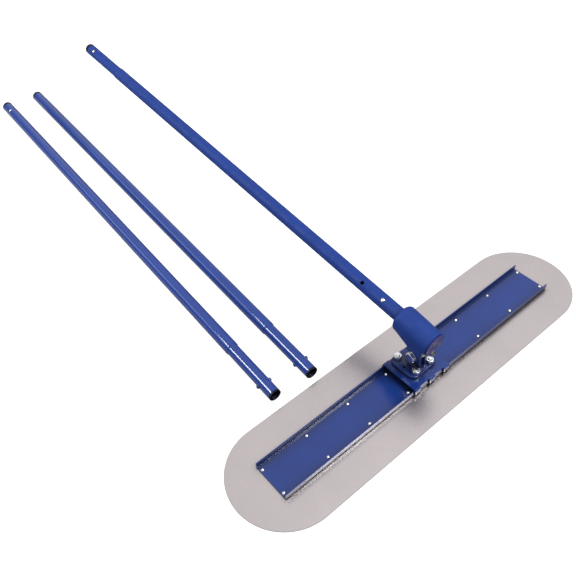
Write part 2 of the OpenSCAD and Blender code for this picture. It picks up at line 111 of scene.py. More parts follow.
def pole_frame(name):
    """Frame of a pole: origin at its reduced tip, +Z along it, +X across it."""
    tip, axis = Vector(MOUNT[name + "_tip"]["pos_m"]) / MM, -Vector(MOUNT[name + "_tip"]["axis"])
    across = (1, 0, 0) if name == "first_pole" else axis.cross((0, 0, 1))
    return axes_at(tip, across, axis)


# ---------------------------------------------------------------- sizes, in millimetres

BLADE_LOW, BLADE_HIGH = corners("blade")
BLADE_TOP = BLADE_HIGH.z
CHANNEL_LOW, CHANNEL_HIGH = corners("channel")
CHANNEL_WALL = 1.6
CHANNEL_BEND = 2.5
SADDLE_LOW, SADDLE_HIGH = corners("saddle_plate")
SADDLE_WALL = 2.5
TAB_BEND = 2.6
TAB_WIDTH = 14
TAB_PITCH = 37
RIVET_PITCH = 95
RIVET_ROWS = 54
RIVETS_PER_ROW = 8
RIVET_HEAD_R = 3.5
RIVET_HEAD_HEIGHT = 2.2
RIVET_SHANK_R = 2

FLANGE_BOTTOM = SADDLE_HIGH.z
FLANGE_TOP = FLANGE_BOTTOM + 6
FLANGE_CORNER = 12
BOLT_GAP_X = 36
BOLT_GAP_Y = 44
SPARE_HOLE_X = 24
SPARE_HOLE_R = 2.5
FLANGE_LOW, FLANGE_HIGH = corners("knuckle_base")
FLANGE_Y = (FLANGE_LOW.y + FLANGE_HIGH.y) / 2
BOLT_R = 4
BOLT_CLEARANCE = 0.3
BOLT_FLATS = 13
WASHER_R = 8
WASHER_THICKNESS = 1.6
NUT_HEIGHT = 6.5
PIVOT_R = 5
PIVOT_FLATS = 17
FIT = 0.02
CHEEK = (4.4, 9.0)
CHEEK_TOP_R = 13
CHEEK_FOOT_Y = 15
LUG = (9.4, 14.4)
LUG_BOSS_R = 12.5

BARREL_REAR = -25
BARREL_FRONT = 52
BARREL_REAR_R = 23
BARREL_FRONT_R = 25.5
SHOULDER_R = 8
WORM_BORE_R = 16
WORM_BORE_END = 21
BUSH_BORE_R = 9.02
BUSH_BORE_END = 33
MOUTH_R = 14.2
SLOT_HALF = 5
SLOT_R = 44.2
CAP_FACE = -28
CAP_R = BARREL_REAR_R - 1
PLUG_R = 15.98
PLUG_END = -16
CAP_BORE_R = 8.02
DISH_AWAY = 30
DISH_DEPTH = 0.9

TUBE_R = 13.5
TUBE_WALL = 1.5
TIP_R = 12.2
TIP_WALL = 1.4
TIP_LENGTH = 135
SWAGE_LENGTH = 5
SOCKET_R = 12.35
SOCKET_LENGTH = 137
BUTTON_FROM_TIP = 34
BUTTON_HOLE_R = 3.8
FIRST_SOCKET_HOLE = 50
FAR_SOCKET_HOLE = TIP_LENGTH - BUTTON_FROM_TIP
HANDLE_TURN = 237
SOCKET_TURN = {"second_pole": 240, "third_pole": 340}
FIRST_POLE_REAR = 41
RIM_BAND = 10
TIP_RIM_BAND = 3.5
SINK_DEPTH = 0.8
SINK_WIDTH = 2.0
HOLE_CLEARANCE = 8

# ---------------------------------------------------------------- mesh tools


def new_object(name, bm, matrix, material, sharp=35):
    """Turns a bmesh in millimetres into an object in metres, smooth except at sharp edges."""
    bm.transform(Matrix.Scale(MM, 4) @ matrix)
    bmesh.ops.recalc_face_normals(bm, faces=bm.faces)
    for face in bm.faces:
        face.smooth = True
    for edge in bm.edges:
        edge.smooth = len(edge.link_faces) == 2 and edge.calc_face_angle() < math.radians(sharp)
    mesh = bpy.data.meshes.new(name)
    bm.to_mesh(mesh)
    bm.free()
    piece = bpy.data.objects.new(name, mesh)
    bpy.context.scene.collection.objects.link(piece)
    piece.data.materials.append(material)
    return piece


def stand_for(node, bm, matrix, look=None, sharp=35):
    """Makes the piece that is shown in a CAD node's place, on the same body, in its slot's finish."""
    piece = new_object(node + "_detail", bm, matrix, MATERIAL[look or SLOT_OF[node]], sharp)
    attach(piece, BODY_OF[node])
    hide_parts(node)
    return piece


def add_grid(bm, rings, close_ends=False):
    """Adds quads between rings of points that all have the same length."""
    rows = [[bm.verts.new(point) for point in ring] for ring in rings]
    pairs = list(zip(rows, rows[1:]))
    if close_ends:
        pairs.append((rows[-1], rows[0]))
    for lower, upper in pairs:
        count = len(lower)
        for i in range(count):
            j = (i + 1) % count
            bm.faces.new((lower[i], lower[j], upper[j], upper[i]))
    return rows


def arc(centre, radius, start, end, steps):
    """Points on an arc, angles in degrees."""
    angles = [math.radians(start + (end - start) * i / steps) for i in range(steps + 1)]
    return [(centre[0] + radius * math.cos(a), centre[1] + radius * math.sin(a)) for a in angles]


def circle(centre, radius, steps):
    return arc(centre, radius, 0, 360, steps)[:-1]


def lathe(bm, profile, steps=96, closed=False):
    """Turns a profile of (radius, height) about Z. An open profile starts and ends on the axis."""
    turns = [2 * math.pi * i / steps for i in range(steps)]
    rings = [[(r * math.cos(t), r * math.sin(t), z) for t in turns] for r, z in profile]
    add_grid(bm, rings, close_ends=closed)
    bmesh.ops.remove_doubles(bm, verts=bm.verts, dist=1e-4)
    return bm


def skinned(rings):
    """Closed solid through rings of points, with flat ends."""
    bm = bmesh.new()
    rows = add_grid(bm, rings)
    bm.faces.new(list(reversed(rows[0])))
    bm.faces.new(rows[-1])
    return bm


def extruded(outline, low, high):
    """Prism of an outline in x, y between two heights."""
    return skinned([[(x, y, z) for x, y in outline] for z in (low, high)])


def soften(bm, width, segments=2, angle=40):
    """Rounds every edge that is sharper than the angle."""
    sharp = [e for e in bm.edges if len(e.link_faces) == 2 and e.calc_face_angle() > math.radians(angle)]
    bmesh.ops.bevel(bm, geom=sharp, offset=width, segments=segments, profile=0.5, affect="EDGES",
                    clamp_overlap=True)
    return bm


def merge(bm, other, matrix=ROW):
    """Adds a copy of another bmesh, moved by the matrix."""
    moved = other.copy()
    moved.transform(matrix)
    mesh = bpy.data.meshes.new("scratch")
    moved.to_mesh(mesh)
    moved.free()
    bm.from_mesh(mesh)
    bpy.data.meshes.remove(mesh)
    return bm


def cut(bm, cutter):
    """Cuts one closed bmesh out of another."""
    scratch = []
    for source in (bm, cutter):
        bmesh.ops.recalc_face_normals(source, faces=source.faces)
        mesh = bpy.data.meshes.new("scratch")
        source.to_mesh(mesh)
        source.free()
        item = bpy.data.objects.new("scratch", mesh)
        bpy.context.scene.collection.objects.link(item)
        scratch.append(item)
    boolean = scratch[0].modifiers.new("cut", "BOOLEAN")
    boolean.operation = "DIFFERENCE"
    boolean.solver = "EXACT"
    boolean.object = scratch[1]
    depsgraph = bpy.context.evaluated_depsgraph_get()
    result = bmesh.new()
    result.from_object(scratch[0], depsgraph)
    for item in scratch:
        bpy.data.meshes.remove(item.data)
    return result


# ---------------------------------------------------------------- shapes from distance fields


def soft_max(a, b, blend):
    """Larger of two fields, with the corner between them rounded."""
    overlap = np.maximum(blend - np.abs(a - b), 0)
    return np.maximum(a, b) + overlap**2 / (4 * blend)


def soft_min(a, b, blend):
    return -soft_max(-a, -b, blend)


def polygon_field(x, y, points):
    """Distance to a polygon, negative inside."""
    nearest = np.full(x.shape, np.inf)
    inside = np.zeros(x.shape, bool)
    for (ax, ay), (bx, by) in zip(points, points[1:] + points[:1]):
        ex, ey = bx - ax, by - ay
        t = np.clip(((x - ax) * ex + (y - ay) * ey) / (ex * ex + ey * ey), 0, 1)
        nearest = np.minimum(nearest, np.hypot(x - ax - t * ex, y - ay - t * ey))
        if ey:
            crosses = ((ay > y) != (by > y)) & (x < ax + (y - ay) * ex / ey)
            inside ^= crosses
    return np.where(inside, -nearest, nearest)


def slab_field(x, low, high):
    return np.abs(x - (low + high) / 2) - (high - low) / 2


def hexagon_field(x, y, flats):
    angles = [math.radians(30 + 60 * i) for i in range(6)]
    return np.max([x * math.cos(a) + y * math.sin(a) for a in angles], axis=0) - flats / 2


def settle(field, points, rounds):
    """Moves points onto the field's zero surface."""
    step = 0.02
    for _ in range(rounds):
        slope = np.stack([(field(points + d) - field(points - d)) / (2 * step)
                          for d in np.eye(3) * step], -1)
        steepness = np.maximum((slope**2).sum(-1), 0.1)
        points = points - (field(points) / steepness)[:, None] * slope
    return points


def field_mesh(field, low, high, cell):
    """Even quad mesh of the surface where the field is zero, in a box cut into cubic cells.

    Each cell that the surface crosses gets a point. The points of neighbouring cells are joined
    to quads, then evened out and pulled back to the surface, three times over.
    """
    lines = [np.arange(a - 2 * cell, b + 3 * cell, cell) for a, b in zip(low, high)]
    grid = np.stack(np.meshgrid(*lines, indexing="ij"), -1)
    inside = field(grid) < 0
    ends = (slice(None, -1), slice(1, None))
    corners_in = sum(inside[i, j, k].astype(int) for i in ends for j in ends for k in ends)
    crossed = (corners_in > 0) & (corners_in < 8)
    index = np.full(crossed.shape, -1)
    index[crossed] = np.arange(crossed.sum())
    points = grid[:-1, :-1, :-1][crossed] + cell / 2
    quads = []
    for axis in range(3):
        ahead = np.moveaxis(inside, axis, 0)
        cells = np.moveaxis(index, axis, 0)
        changes = ahead[:-1] != ahead[1:]
        layer, row, column = np.nonzero(changes[:, 1:-1, 1:-1])
        quads.append(np.stack([cells[layer, row, column], cells[layer, row + 1, column],
                               cells[layer, row + 1, column + 1], cells[layer, row, column + 1]], 1))
    quads = np.concatenate(quads)
    for _ in range(3):
        points = settle(field, points, 2)
        total, count = np.zeros_like(points), np.zeros(len(points))
        for side in range(4):
            here, there = quads[:, side], quads[:, (side + 1) % 4]
            for a, b in ((here, there), (there, here)):
                np.add.at(total, a, points[b])
                np.add.at(count, a, 1)
        points = points * 0.5 + total / count[:, None] * 0.5
    points = settle(field, points, 3)
    bm = bmesh.new()
    verts = [bm.verts.new(point) for point in points]
    for quad in quads:
        bm.faces.new([verts[i] for i in quad])
    bmesh.ops.recalc_face_normals(bm, faces=bm.faces)
    return bm


# ---------------------------------------------------------------- materials


class Nodes:
    """A node tree, with short calls for the nodes that a material and the world both use."""

    def __init__(self, tree):
        self.tree = tree

    def add(self, kind, inputs=None, **settings):
        node = self.tree.nodes.new(kind)
        for name, value in settings.items():
            setattr(node, name, value)
        for socket, value in (inputs or {}).items():
            self.feed(node.inputs[socket], value)
        return node

    def feed(self, socket, value):
        if isinstance(value, bpy.types.NodeSocket):
            self.tree.links.new(value, socket)
        else:
            socket.default_value = value

    def remap(self, value, low, high, to_low=0.0, to_high=1.0, **settings):
        return self.add("ShaderNodeMapRange", {
            "Value": value, "From Min": low, "From Max": high,
            "To Min": to_low, "To Max": to_high}, **settings).outputs[0]

    def math(self, operation, a, b):
        return self.add("ShaderNodeMath", {0: a, 1: b}, operation=operation).outputs[0]


class Graph(Nodes):
    """A material's nodes, round its Principled shader."""

    def __init__(self, name, **constants):
        self.material = bpy.data.materials.new(name)
        self.material.use_nodes = True
        super().__init__(self.material.node_tree)
        self.shader = self.tree.nodes["Principled BSDF"]
        for socket, value in constants.items():
            self.shader.inputs[socket.replace("_", " ")].default_value = value
        self.place = self.add("ShaderNodeTexCoord").outputs["Object"]

    def drive(self, socket, value):
        self.feed(self.shader.inputs[socket], value)

    def noise(self, scale, detail=3, stretch=(1, 1, 1), roughness=0.55):
        """Noise with its scale in features a metre; stretch squeezes it along an axis."""
        spread = self.add("ShaderNodeMapping", {"Vector": self.place, "Scale": stretch})
        texture = self.add("ShaderNodeTexNoise", {
            "Vector": spread.outputs[0], "Scale": scale, "Detail": detail, "Roughness": roughness})
        return texture.outputs[0]

    def mix(self, factor, a, b):
        return self.add("ShaderNodeMix", {0: factor, 6: a, 7: b}, data_type="RGBA").outputs[2]

    def edges(self, radius):
        """1 near edges and 0 on flats."""
        rounded = self.add("ShaderNodeBevel", {0: radius}, samples=4).outputs[0]
        facing = self.add("ShaderNodeNewGeometry").outputs["Normal"]
        match = self.add("ShaderNodeVectorMath", {0: rounded, 1: facing}, operation="DOT_PRODUCT")
        return self.remap(match.outputs["Value"], 0.98, 0.8)

    def painted_corner_shade(self, reach):
        """1 deep in a corner and 0 in the open, for painted shade that darkens corners, creases and the
        gaps between parts.
        """
        open_sky = self.add("ShaderNodeAmbientOcclusion", {"Distance": reach}, samples=8).outputs["AO"]
        return self.remap(open_sky, 0.95, 0.45)

    def bump(self, height, distance, below=None):
        inputs = {"Height": height, "Distance": distance}
        if below is not None:
            inputs["Normal"] = below
        return self.add("ShaderNodeBump", inputs).outputs[0]


BARE = (0.22, 0.23, 0.30)
PAINTED_SHADE = (0.012, 0.011, 0.012)
BLUE = (0.0065, 0.033, 0.203)
DEEP_BLUE = (0.0055, 0.029, 0.176)


def paint(name, colour, deep, roughness, wear=0.5, gloss=0.5, peel=0.00001):
    """Enamel with orange peel, faint scuffs, painted shade in corners, and bare metal at worn edges."""
    g = Graph(name, Specular_IOR_Level=gloss)
    clouds = g.remap(g.noise(14, 4), 0.35, 0.65)
    flecks = g.remap(g.noise(900, 2), 0.62, 0.72)
    coat = g.mix(clouds, (*deep, 1), (*colour, 1))
    coat = g.mix(g.math("MULTIPLY", flecks, 0.12), coat, (*BARE, 1))
    chips = g.remap(g.noise(420, 5, roughness=0.7), 0.60 - 0.1 * wear, 0.66)
    worn = g.math("MULTIPLY", g.edges(0.0007), chips)
    # Painted shade: corners, creases and faces next to other parts go near black, where shade falls.
    coat = g.mix(g.math("MULTIPLY", g.painted_corner_shade(0.024), 0.8), coat, (*PAINTED_SHADE, 1))
    g.drive("Base Color", g.mix(worn, coat, (*BARE, 1)))
    g.drive("Metallic", g.math("MULTIPLY", worn, 0.9))
    scuffs = g.remap(g.noise(60, 6, roughness=0.65), 0.45, 0.75, roughness, roughness * 1.5)
    g.drive("Roughness", scuffs)
    ripple = g.bump(g.noise(520, 2), peel)
    g.drive("Normal", g.bump(worn, -0.00005, below=ripple))
    return g.material


def metal(name, colour, tint, roughness, grain=(1, 1, 1), grain_scale=900, relief=0.000004, spots=0.3,
          corner_shade=0):
    """Bare metal with grain along one axis, cloudy roughness, small stains, and painted shade in its
    corners.
    """
    g = Graph(name, Metallic=1.0)
    clouds = g.remap(g.noise(9, 4), 0.35, 0.65)
    stains = g.remap(g.noise(45, 6, roughness=0.7), 0.60, 0.78, 0, spots)
    lines = g.noise(grain_scale, 3, grain)
    base = g.mix(clouds, (*colour, 1), (*tint, 1))
    base = g.mix(stains, base, (*[c * 0.72 for c in tint], 1))
    # Painted shade: the base darkens in corners and next to other parts, where shade falls.
    if corner_shade:
        base = g.mix(g.math("MULTIPLY", g.painted_corner_shade(0.012), corner_shade), base, (*PAINTED_SHADE, 1))
    g.drive("Base Color", base)
    rough = g.remap(lines, 0.3, 0.7, roughness - 0.05, roughness + 0.07)
    g.drive("Roughness", g.math("ADD", rough, g.math("MULTIPLY", stains, 0.2)))
    g.drive("Normal", g.bump(lines, relief))
    return g.material


MATERIAL = {
    # The blade gets painted shade along the channel and round the knuckle.
    "blade_steel": metal("blade_steel", (0.55, 0.505, 0.513), (0.52, 0.48, 0.488), 0.30,
                         grain=(0.03, 1, 1), grain_scale=2600, relief=0.0000005, spots=0.05, corner_shade=0.7),
    "blue_paint": paint("blue_paint", BLUE, DEEP_BLUE, 0.16),
    "cap_paint": paint("cap_paint", (0.026, 0.029, 0.165), (0.022, 0.025, 0.14), 0.5, gloss=0.2),
    "pole_paint": paint("pole_paint", BLUE, DEEP_BLUE, 0.09, wear=0.8, peel=0.0000018),
    "head_paint": paint("head_paint", BLUE, DEEP_BLUE, 0.55, wear=0.8, gloss=0.22),
    "zinc": metal("zinc", (0.92, 0.93, 0.95), (0.84, 0.86, 0.90), 0.20, relief=0.000003),
    "machined_steel": metal("machined_steel", (0.42, 0.42, 0.44), (0.34, 0.34, 0.37), 0.3),
    "spring_steel": metal("spring_steel", (0.30, 0.31, 0.34), (0.24, 0.25, 0.30), 0.35),
    "button_metal": metal("button_metal", (0.83, 0.84, 0.86), (0.78, 0.79, 0.82), 0.16,
                          relief=0.000001, spots=0.1),
    "bronze": metal("bronze", (0.62, 0.40, 0.17), (0.50, 0.31, 0.13), 0.36),
    "weld": metal("weld", (0.80, 0.78, 0.76), (0.62, 0.58, 0.56), 0.34, relief=0.00002),
    # Near black: painted shade inside the poles' tubes; the same finish makes the dark bands at the pole
    # ends.
    "tube_inside": metal("tube_inside", (0.030, 0.032, 0.050), (0.016, 0.017, 0.030), 0.45),
}


# ---------------------------------------------------------------- blade, channel and rivets


def rivet_places():
    first = -(RIVETS_PER_ROW - 1) / 2 * RIVET_PITCH
    return [(first + i * RIVET_PITCH, side * RIVET_ROWS / 2)
            for i in range(RIVETS_PER_ROW) for side in (-1, 1)]


def stadium(inset):
    """Outline of the blade, moved inwards."""
    radius = BLADE_HIGH.y - inset
    centre = BLADE_HIGH.x - BLADE_HIGH.y
    return arc((centre, 0), radius, -90, 90, 64) + arc((-centre, 0), radius, 90, 270, 64)


def make_blade():
    """Round-ended sheet with rolled edges, and a hole under each rivet."""
    lip = 0.45
    section = [(lip - x, BLADE_TOP / 2 + y) for x, y in
               [(0, -BLADE_TOP / 2)] + arc((0, 0), lip, -60, 60, 6) + [(0, BLADE_TOP / 2)]]
    bm = skinned([[(x, y, z) for x, y in stadium(inset)] for inset, z in section])
    holes = bmesh.new()
    for x, y in rivet_places():
        merge(holes, extruded(circle((x, y), RIVET_SHANK_R, 48), -1, BLADE_TOP + 1))
    stand_for("blade", cut(bm, holes), ROW)


def inner_face(path, wall):
    """The inner face of a bent sheet, point for point with the path along its outer face."""
    inner = []
    for i, (x, y) in enumerate(path):
        x0, y0 = path[max(i - 1, 0)]
        x1, y1 = path[min(i + 1, len(path) - 1)]
        length = math.hypot(x1 - x0, y1 - y0)
        inner.append((x - (y1 - y0) / length * wall, y + (x1 - x0) / length * wall))
    return inner


def u_path(half_width, bottom, top, bend, steps=8):
    """Outer face of a sheet bent to a U, from one top edge round to the other."""
    return ([(-half_width, top)]
            + arc((-half_width + bend, bottom + bend), bend, 180, 270, steps)
            + arc((half_width - bend, bottom + bend), bend, 270, 360, steps)
            + [(half_width, top)])


def swept_sheet(path, wall, low, high, rounding):
    """A bent sheet as long as low..high along X, with its cut edges rounded."""
    section = path + inner_face(path, wall)[::-1]
    bm = bmesh.new()
    rows = add_grid(bm, [[(x, y, z) for y, z in section] for x in (low, high)])
    count = len(path)
    for row, flip in ((rows[0], True), (rows[1], False)):
        for i in range(count - 1):
            face = [row[i], row[i + 1], row[2 * count - 2 - i], row[2 * count - 1 - i]]
            bm.faces.new(face[::-1] if flip else face)
    return soften(bm, rounding)


def make_channel():
    path = u_path(CHANNEL_HIGH.y, CHANNEL_LOW.z, CHANNEL_HIGH.z, CHANNEL_BEND)
    bm = swept_sheet(path, CHANNEL_WALL, CHANNEL_LOW.x, CHANNEL_HIGH.x, 0.35)
    stand_for("channel", bm, ROW)


def make_rivets():
    """Domed heads with a pressed rim, and shank ends that show under the blade."""
    dome_r = (RIVET_HEAD_R**2 + RIVET_HEAD_HEIGHT**2) / (2 * RIVET_HEAD_HEIGHT)
    reach = math.degrees(math.asin(RIVET_HEAD_R / dome_r))
    seat = BLADE_TOP + CHANNEL_WALL
    centre = seat + RIVET_HEAD_HEIGHT - dome_r
    dome = arc((0, centre), dome_r, 90 - reach, 90, 10)
    profile = ([(0, 0.02), (RIVET_SHANK_R - 0.25, 0.02), (RIVET_SHANK_R, 0.25), (RIVET_SHANK_R, seat),
                (RIVET_HEAD_R - 0.15, seat)] + dome)
    bm = bmesh.new()
    rivet = lathe(bmesh.new(), profile, 40)
    for x, y in rivet_places():
        merge(bm, rivet, Matrix.Translation((x, y, 0)))
    stand_for("blade_rivets", bm, ROW)


# ---------------------------------------------------------------- saddle and knuckle base


def make_saddle():
    """The plate across the channel, and its six tabs folded over the flanges."""
    half = (SADDLE_HIGH.x - SADDLE_LOW.x) / 2
    corner = 3
    plate = []
    for x, y, start in ((1, -1, -90), (1, 1, 0), (-1, 1, 90), (-1, -1, 180)):
        centre = (x * (half - corner), y * (CHANNEL_HIGH.y - corner))
        plate += arc(centre, corner, start, start + 90, 6)
    bm = soften(extruded(plate, SADDLE_HIGH.z - SADDLE_WALL, SADDLE_HIGH.z), 0.4)
    for i in (-1, 0, 1):
        for side in (-1, 1):
            merge(bm, folded_tab(i * TAB_PITCH, side))
    stand_for("saddle_plate", bm, ROW)


def folded_tab(x, side):
    """One tab: a short level root in the plate's edge, the bend, and the leg down.

    It stands a hair proud, so that its root's top and the plate's top aren't in one plane.
    """
    edge = SADDLE_HIGH.y
    top = SADDLE_HIGH.z
    root_depth = 2
    root = CHANNEL_HIGH.y - SADDLE_WALL - root_depth
    proud = 0.02
    path = [(root, top)] + arc((edge - TAB_BEND, top - TAB_BEND), TAB_BEND, 90, 0, 8)
    path += [(edge, SADDLE_LOW.z)]
    path = [(side * y, z + proud) for y, z in path]
    if side > 0:
        path.reverse()
    return swept_sheet(path, SADDLE_WALL, x - TAB_WIDTH / 2, x + TAB_WIDTH / 2, 0.4)


def make_knuckle_base():
    """Cast flange and cheeks, with fillets where they meet."""
    half_x = (FLANGE_HIGH.x - FLANGE_LOW.x) / 2
    half_y = (FLANGE_HIGH.y - FLANGE_LOW.y) / 2

    def field(p):
        x, y, z = np.abs(p[..., 0]), p[..., 1], p[..., 2]
        across = np.maximum(x - half_x + FLANGE_CORNER, 0)
        back = np.maximum(np.abs(y - FLANGE_Y) - half_y + FLANGE_CORNER, 0)
        plan = np.hypot(across, back) - FLANGE_CORNER
        flange = soft_max(plan, slab_field(z, FLANGE_BOTTOM, FLANGE_TOP), 1.6)
        foot = [(-CHEEK_FOOT_Y, FLANGE_BOTTOM + 1), (CHEEK_FOOT_Y, FLANGE_BOTTOM + 1),
                (CHEEK_TOP_R - 0.3, PIVOT.z), (0.3 - CHEEK_TOP_R, PIVOT.z)]
        outline = np.minimum(np.hypot(y, z - PIVOT.z) - CHEEK_TOP_R, polygon_field(y, z, foot))
        cheek = soft_max(outline, slab_field(x, *CHEEK), 1.0)
        solid = soft_min(flange, cheek, 3.5)
        from_bolt = np.hypot(x - BOLT_GAP_X / 2, np.abs(y - FLANGE_Y) - BOLT_GAP_Y / 2)
        bolts = from_bolt - BOLT_R - BOLT_CLEARANCE
        spare = np.hypot(x - SPARE_HOLE_X, y - FLANGE_Y) - SPARE_HOLE_R
        pivot = np.hypot(y, z - PIVOT.z) - PIVOT_R - FIT
        for hole in (bolts, spare, pivot):
            solid = soft_max(solid, -hole, 0.6)
        return solid

    bm = field_mesh(field, FLANGE_LOW, FLANGE_HIGH, 0.8)
    stand_for("knuckle_base", bm, ROW, sharp=60)


def base_bolt_places():
    return [Vector((x * BOLT_GAP_X / 2, FLANGE_Y + y * BOLT_GAP_Y / 2, 0))
            for x in (-1, 1) for y in (-1, 1)]


def hexagon_part(flats, height, hole_r=None, both_ends=False):
    """A nut or bolt head with chamfered corners, standing on z = 0."""
    rounding, chamfer_r, chamfer_slope = 0.3, flats * 0.485, 1.7

    def field(p):
        x, y, z = p[..., 0], p[..., 1], p[..., 2]
        solid = soft_max(hexagon_field(x, y, flats), slab_field(z, 0, height), rounding)
        radius = np.hypot(x, y)
        for past_end in [z - height, -z] if both_ends else [z - height]:
            solid = soft_max(solid, (radius - chamfer_r + past_end * chamfer_slope) * 0.5, rounding)
        if hole_r:
            solid = soft_max(solid, hole_r - radius, 0.5)
        return solid

    reach = flats * 0.58
    return field_mesh(field, (-reach, -reach, 0), (reach, reach, height), 0.42)


def threaded_rod(radius, length, plain, pitch=1.25):
    """Shank that is plain below and threaded above, with a chamfered end."""
    depth = 0.55 * pitch
    steps_round, steps_a_pitch = 48, 12
    layers = math.ceil(length / pitch * steps_a_pitch)

    def point(layer, i):
        z = length * layer / layers
        turn = i / steps_round
        ridge = abs(2 * ((turn - z / pitch) % 1) - 1)
        cut_in = depth * ridge * min(max((z - plain) / pitch, 0), 1)
        chamfer = max(z - (length - depth), 0)
        r = radius - max(cut_in, chamfer)
        return r * math.cos(2 * math.pi * turn), r * math.sin(2 * math.pi * turn), z

    return skinned([[point(layer, i) for i in range(steps_round)] for layer in range(layers + 1)])


def make_base_fasteners():
    """Four bolts up through plate and flange, each with a chamfered washer and a nut."""
    low, high = corners("base_bolts")
    head_height = SADDLE_HIGH.z - SADDLE_WALL - low.z
    head = hexagon_part(BOLT_FLATS, head_height)
    flip = Matrix.Rotation(math.pi, 4, "X")
    nut_low = FLANGE_TOP + WASHER_THICKNESS
    rod = threaded_rod(BOLT_R, high.z - low.z - head_height, nut_low - low.z - head_height)
    bolts, washers, nuts = bmesh.new(), bmesh.new(), bmesh.new()
    ring = [(BOLT_R + FIT, 0), (WASHER_R - 0.3, 0), (WASHER_R, 0.3), (WASHER_R, WASHER_THICKNESS - 0.5),
            (WASHER_R - 0.5, WASHER_THICKNESS), (BOLT_R + FIT, WASHER_THICKNESS)]
    washer = lathe(bmesh.new(), ring, 48, closed=True)
    nut = hexagon_part(BOLT_FLATS, NUT_HEIGHT, BOLT_R - 0.35, both_ends=True)
    for i, place in enumerate(base_bolt_places()):
        spin = Matrix.Rotation(math.radians(17 * i), 4, "Z")
        seat = place + Vector((0, 0, low.z + head_height))
        merge(bolts, head, Matrix.Translation(seat) @ spin @ flip)
        merge(bolts, rod, Matrix.Translation(seat) @ spin)
        merge(washers, washer, Matrix.Translation(place + Vector((0, 0, FLANGE_TOP))))
        merge(nuts, nut, Matrix.Translation(place + Vector((0, 0, nut_low))) @ spin)
    stand_for("base_bolts", bolts, ROW)
    stand_for("base_washers", washers, ROW)
    stand_for("base_nuts", nuts, ROW, sharp=50)


def make_pivot_fasteners():
    """The tilt pivot's bolt, its two washers and its nut, along X."""
    across = axes_at(PIVOT, (0, 0, -1), (1, 0, 0))
    low, high = corners("pivot_bolt")
    washer_low, washer_high = corners("pivot_washers")
    nut_low, nut_high = corners("pivot_nut")
    bolt = bmesh.new()
    head = hexagon_part(PIVOT_FLATS, washer_low.x - low.x)
    merge(bolt, head, Matrix.Translation((0, 0, washer_low.x)) @ Matrix.Rotation(math.pi, 4, "X"))
    rod = threaded_rod(PIVOT_R, high.x - washer_low.x, washer_high.x - washer_low.x, pitch=1.5)
    merge(bolt, rod, Matrix.Translation((0, 0, washer_low.x)))
    stand_for("pivot_bolt", bolt, across, sharp=50)
    nut = hexagon_part(PIVOT_FLATS, nut_high.x - nut_low.x, PIVOT_R - 0.4, both_ends=True)
    nut.transform(Matrix.Translation((0, 0, nut_low.x)))
    stand_for("pivot_nut", nut, across, sharp=50)
    washers = bmesh.new()
    outer = (washer_high.z - washer_low.z) / 2
    for start in (washer_low.x, washer_high.x - WASHER_THICKNESS):
        end = start + WASHER_THICKNESS
        ring = [(PIVOT_R + FIT, start), (outer - 0.3, start), (outer, start + 0.3),
                (outer, end - 0.3), (outer - 0.3, end), (PIVOT_R + FIT, end)]
        merge(washers, lathe(bmesh.new(), ring, 64, closed=True))
    stand_for("pivot_washers", washers, across)


# ---------------------------------------------------------------- head


def make_housing():
    """Cast barrel and lugs with fillets, hollowed for the worm and slotted for the sector.

    Outlines are sections: (along, radius) for the barrel and its hollow, (along, up) for a lug's web.
    """
    shoulder_start = BARREL_FRONT - SHOULDER_R
    barrel = ([(BARREL_REAR, -1), (BARREL_REAR, BARREL_REAR_R), (shoulder_start, BARREL_FRONT_R)]
              + arc((shoulder_start, BARREL_FRONT_R - SHOULDER_R), SHOULDER_R, 84, 0, 10)
              + [(BARREL_FRONT, -1)])
    hollow = [(BARREL_REAR - 5, -1), (BARREL_REAR - 5, WORM_BORE_R), (WORM_BORE_END, WORM_BORE_R),
              (WORM_BORE_END, BUSH_BORE_R), (BUSH_BORE_END, BUSH_BORE_R), (BUSH_BORE_END, MOUTH_R),
              (BARREL_FRONT + 4, MOUTH_R), (BARREL_FRONT + 4, -1)]
    web = [(0, 0), (9, 9.2), (48, 24.9), (48, 36), (-16, 36), (-16, 29), (-12.5, 2)]

    def field(p):
        x, along, up = np.abs(p[..., 0]), p[..., 1], p[..., 2]
        radius = np.hypot(p[..., 0], up - SHAFT_DROP)
        outside = polygon_field(along, radius, barrel)
        inside = polygon_field(along, radius, hollow)
        lug = soft_min(np.hypot(along, up) - LUG_BOSS_R, polygon_field(along, up, web), 2)
        lugs = soft_max(lug, slab_field(x, *LUG), 1.2)
        solid = soft_min(outside, lugs, 5)
        slot = soft_max(x - SLOT_HALF, np.hypot(along, up) - SLOT_R, 0.5)
        pivot = np.hypot(along, up) - PIVOT_R - 0.05
        for space in (inside, slot, pivot):
            solid = soft_max(solid, -space, 0.6)
        return solid

    box_low, box_high = (-26, -26, -13), (26, 53, 77)
    bm = field_mesh(field, box_low, box_high, 0.9)
    stand_for("gear_housing", bm, HEAD, "head_paint", sharp=60)


